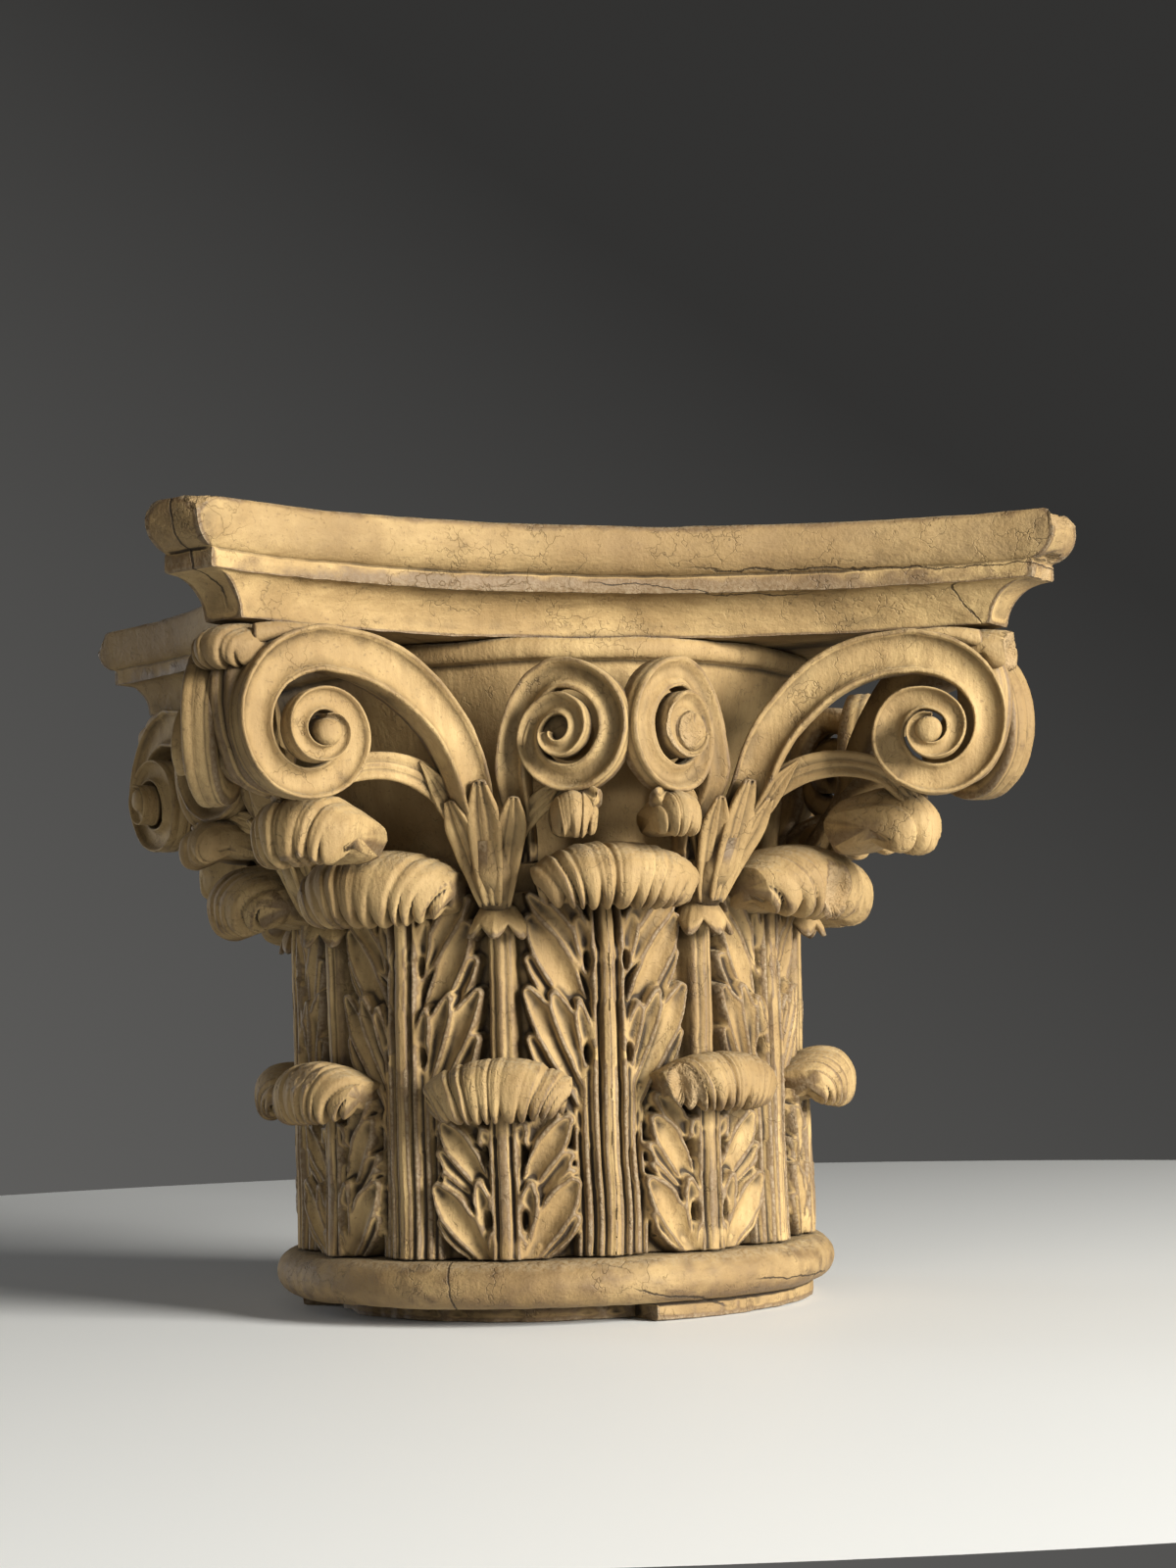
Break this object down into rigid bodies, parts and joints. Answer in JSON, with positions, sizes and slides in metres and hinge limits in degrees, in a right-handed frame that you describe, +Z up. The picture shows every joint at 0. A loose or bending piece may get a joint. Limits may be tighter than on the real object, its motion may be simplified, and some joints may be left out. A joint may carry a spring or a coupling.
{
  "type": "corinthian capital",
  "caption": "Carved Corinthian capital in worn painted wood: turned neck ring, acanthus bell with scrolls and corner volutes, and a moulded abacus with concave sides.",
  "frame": {"origin": "centre of the underside", "axes": "+Z up the capital's axis, -Y out of the side that the picture shows from the front, +X to that side's right"},
  "size_m": [0.1994, 0.1994, 0.17],
  "materials": {
    "worn_ring": "turned wood, old ochre paint worn to grey brown",
    "carved_wood": "carved wood, old matt yellow ochre paint with dirt in the hollows",
    "moulded_board": "moulded wooden board, old matt yellow ochre paint with fine cracks"
  },
  "bodies": {
    "root": {"neck_ring": "worn_ring", "bell": "carved_wood", "abacus": "moulded_board"}
  },
  "joints": []
}
